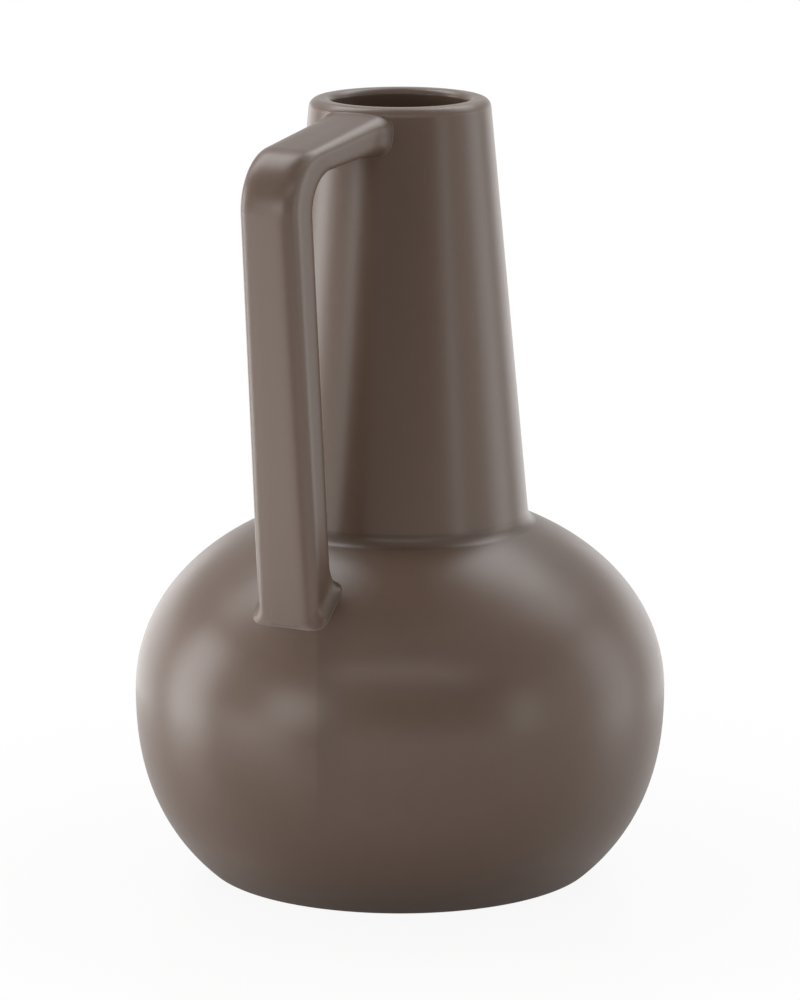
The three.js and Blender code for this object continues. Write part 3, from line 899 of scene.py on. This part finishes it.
class VASE_OT_lutes(bpy.types.Operator):
    """Make the three slip fillets round the joints"""

    bl_idname = "vase.lutes"
    bl_label = "Make Joint Fillets"

    def execute(self, context):
        scene = context.scene
        belly, neck, fine = scene.vase_belly, scene.vase_neck, scene.vase_fineness
        lutes = scene.vase_lutes
        strap = Strap(scene.vase_handle, belly, neck)
        a = full_turn(fine.strap_around)
        at_neck, at_belly = strap_ends(strap, a, belly, neck)
        material = glaze_material("lute_glaze", scene.vase_glaze)
        ring = turned(neck_lute_profile(belly, neck, lutes, fine), fine.around)
        upper, lower = (
            lute_rings(strap, t, outwards, outside, slip_reaches(lutes, end), lutes.lip, fine)
            for end, t, outwards, outside in (
                ("upper", at_neck, 1, lambda p: outside_neck(p, neck)),
                ("lower", at_belly, -1, lambda p: outside_belly(p, belly)),
            )
        )
        for name, rings, replaced in (
            ("neck_slip", ring, "neck_lute"),
            ("upper_slip", upper, "upper_lute"),
            ("lower_slip", lower, "lower_lute"),
        ):
            add_piece(name, surface(name, rings, True), material, [replaced])
        return {"FINISHED"}


def direction_to(azimuth, elevation):
    """Unit vector at an azimuth, 0 being -Y and 90 degrees +X, and an elevation above the floor."""
    level = math.cos(elevation)
    return Vector((math.sin(azimuth) * level, -math.cos(azimuth) * level, math.sin(elevation)))


def add_camera(studio):
    """A long lens at the photograph's angle, aimed level with the vase's axis."""
    camera = bpy.data.cameras.new("camera")
    camera.lens = studio.focal_length
    camera.sensor_fit = "VERTICAL"
    camera.sensor_height = 36.0
    camera.clip_end = 30.0
    standing = put("camera", camera)
    place = direction_to(studio.azimuth, 0.0) * studio.distance
    standing.location = (place.x, place.y, studio.height)
    looking = -direction_to(studio.azimuth, studio.pitch)
    standing.rotation_euler = looking.to_track_quat("-Z", "Y").to_euler()
    bpy.context.scene.camera = standing


# The tent's opening, its backdrop and its gap straight above: the angles in radians, round from the camera or
# up from level, at which each begins and at which it is full.
DIM_LEFT = (-1.17, -1.03)
DIM_RIGHT = (0.91, 0.77)
DIM_TOP = (1.12, 0.98)
BACKDROP = (2.2, 2.4)
BACKDROP_TOP = (0.3, 0.1)
ZENITH = (1.12, 1.3)

# The softboxes: name, turn from the camera to the picture's right and rise in degrees, distance, width and
# height in metres, and brightness, where 1 is white.
SOFTBOXES = (
    ("left strip", -99, -2, 0.8, 0.34, 0.8, 4.7),
    ("left low", -60, -18, 0.9, 0.5, 0.46, 2.2),
    ("left key", -46, 7, 1.2, 0.46, 0.42, 4.0),
    ("right edge", 53, 2, 1.2, 0.17, 0.5, 2.8),
    ("right fill", 76, 0, 1.1, 0.5, 0.8, 0.3),
    ("right strip", 102, -2, 0.8, 0.34, 0.8, 1.8),
    ("top right", 112, 42, 1.4, 0.55, 0.55, 2.2),
    ("back top right", 146, 53, 1.4, 0.8, 0.6, 3.1),
    ("top left", -112, 42, 1.4, 0.5, 0.5, 2.5),
    ("back top left", -132, 58, 1.4, 0.75, 0.6, 4.1),
    ("front bar", 0, 38, 1.4, 1.6, 0.13, 3.5),
    ("front low", 8, -16, 0.8, 1.2, 0.3, 0.75),
    ("left rim", -146, -9, 1.2, 0.8, 0.8, 1.1),
    ("right rim", 149, -9, 1.2, 0.7, 0.8, 0.7),
)


def add_lamps(studio):
    """Rectangular lamps that face the vase. The power of each is its brightness times pi times its area."""
    for name, turn, rise, distance, width, height, brightness in SOFTBOXES:
        lamp = bpy.data.lights.new(name, "AREA")
        lamp.shape = "RECTANGLE"
        lamp.size = width
        lamp.size_y = height
        lamp.energy = brightness * studio.lamp_level * math.pi * width * height
        box = put(name, lamp)
        towards = direction_to(studio.azimuth + math.radians(turn), math.radians(rise))
        box.location = Vector((0, 0, LIP_HEIGHT / 2)) + towards * distance
        box.rotation_euler = (-towards).to_track_quat("-Z", "Y").to_euler()
        box.visible_camera = False


def add_world(studio):
    """A light tent, as a function of the direction: bright cloth all round, the white backdrop behind the
    vase, a dim opening round the camera and a dark gap straight above. The camera sees white everywhere, and
    a gloss sees the low part of the backdrop white."""
    world = bpy.data.worlds.new("studio")
    tree = empty_tree(world)
    rays = node(tree, "ShaderNodeLightPath").outputs
    looking = node(tree, "ShaderNodeTexCoord").outputs["Generated"]
    to_right, to_camera = (
        along(tree, looking, direction_to(studio.azimuth + turn, 0.0)) for turn in (math.pi / 2, 0.0)
    )
    turned_by = calculate(tree, "ARCTAN2", to_right, to_camera)
    rise = calculate(tree, "ARCSINE", height_of(tree, looking))
    opening = times(tree, fade(tree, turned_by, *DIM_LEFT), fade(tree, turned_by, *DIM_RIGHT))
    opening = times(tree, opening, fade(tree, rise, *DIM_TOP))
    backdrop = fade(tree, calculate(tree, "ABSOLUTE", turned_by), *BACKDROP)
    low = fade(tree, rise, *BACKDROP_TOP)
    above = fade(tree, rise, *ZENITH)
    room = mix(tree, backdrop, grey_rgb(studio.cloth), grey_rgb(studio.backdrop))
    room = mix(tree, opening, room, grey_rgb(studio.opening))
    room = mix(tree, above, room, grey_rgb(studio.zenith))
    mirrored = times(tree, rays["Is Glossy Ray"], backdrop, low)
    white = calculate(tree, "MAXIMUM", rays["Is Camera Ray"], rays["Is Transmission Ray"], mirrored)
    shown = mix(tree, white, room, WHITE)
    sky = node(tree, "ShaderNodeBackground", {"Color": shown, "Strength": 1.0})
    node(tree, "ShaderNodeOutputWorld", {"Surface": sky.outputs["Background"]})
    bpy.context.scene.world = world


def floor_material(studio):
    """Pale satin board. The camera sees it almost white, with the vase's shadow, and white at its rim."""
    material = bpy.data.materials.new("floor")
    tree = empty_tree(material)
    rays = node(tree, "ShaderNodeLightPath").outputs
    finish = {"Base Color": opaque(studio.floor), "Roughness": studio.floor_roughness}
    board = node(tree, "ShaderNodeBsdfPrincipled", finish).outputs["BSDF"]
    white = node(tree, "ShaderNodeEmission", {"Color": WHITE, "Strength": 1.0}).outputs["Emission"]
    mirrored = times(tree, rays["Is Glossy Ray"], studio.floor_gloss)
    seen = calculate(tree, "MAXIMUM", rays["Is Camera Ray"], rays["Is Transmission Ray"], mirrored)
    place = node(tree, "ShaderNodeTexCoord").outputs["Object"]
    out = node(tree, "ShaderNodeVectorMath", {0: place}, operation="LENGTH").outputs["Value"]
    reach = (studio.floor_white_radius, studio.floor_radius)
    share = remap(tree, out, *reach, studio.floor_white, 1.0, smooth=True)
    seen = times(tree, seen, share)
    both = node(tree, "ShaderNodeMixShader", {0: seen, 1: board, 2: white})
    node(tree, "ShaderNodeOutputMaterial", {"Surface": both.outputs["Shader"]})
    return material


def add_floor(studio, fine):
    """A round table top just under the resting face."""
    under = -0.00005
    rim = arc((0.0, 0.0), studio.floor_radius, 0.0, 2 * math.pi, fine.rim)[:-1]
    mesh = bpy.data.meshes.new("floor")
    mesh.from_pydata(np.column_stack([rim, np.full(len(rim), under)]).tolist(), [], [range(len(rim))])
    mesh.materials.append(floor_material(studio))
    sheet = put("floor", mesh)


class VASE_OT_stage(bpy.types.Operator):
    """Set up the floor, the soft lamps, the white surroundings and the camera"""

    bl_idname = "vase.stage"
    bl_label = "Set the Stage"

    def execute(self, context):
        studio = context.scene.vase_studio
        add_floor(studio, context.scene.vase_fineness)
        add_world(studio)
        add_lamps(studio)
        add_camera(studio)
        context.scene.view_settings.view_transform = "Standard"
        return {"FINISHED"}


class VASE_PT_sidebar(bpy.types.Panel):
    """Sizes, finish and steps of the jug vase"""

    bl_label = "Jug Vase"
    bl_idname = "VASE_PT_sidebar"
    bl_space_type = "VIEW_3D"
    bl_region_type = "UI"
    bl_category = "Jug Vase"

    def draw(self, context):
        for name_on_scene, title, group, operator in SECTIONS:
            settings = getattr(context.scene, name_on_scene)
            box = self.layout.box()
            box.label(text=title)
            for name in group.__annotations__:
                box.prop(settings, name)
            if operator is not None:
                box.operator(operator.bl_idname)


# The panel's sections: the settings' name on the scene, the title, the settings and their operator.
SECTIONS = (
    ("vase_belly", "Belly", BellyShape, VASE_OT_belly),
    ("vase_neck", "Neck", NeckShape, VASE_OT_neck),
    ("vase_handle", "Handle", HandleShape, VASE_OT_handle),
    ("vase_lutes", "Joints", LuteShape, VASE_OT_lutes),
    ("vase_glaze", "Glaze", GlazeFinish, None),
    ("vase_fineness", "Fineness", GridFineness, None),
    ("vase_studio", "Studio", StudioSettings, VASE_OT_stage),
)


def register():
    for name_on_scene, _, group, operator in SECTIONS:
        bpy.utils.register_class(group)
        setattr(bpy.types.Scene, name_on_scene, PointerProperty(type=group))
        if operator is not None:
            bpy.utils.register_class(operator)
    bpy.utils.register_class(VASE_PT_sidebar)


def unregister():
    bpy.utils.unregister_class(VASE_PT_sidebar)
    for name_on_scene, _, group, operator in reversed(SECTIONS):
        if operator is not None:
            bpy.utils.unregister_class(operator)
        delattr(bpy.types.Scene, name_on_scene)
        bpy.utils.unregister_class(group)


def main():
    register()
    bpy.ops.vase.belly()
    bpy.ops.vase.neck()
    bpy.ops.vase.handle()
    bpy.ops.vase.lutes()
    bpy.ops.vase.stage()


if __name__ == "__main__":
    main()
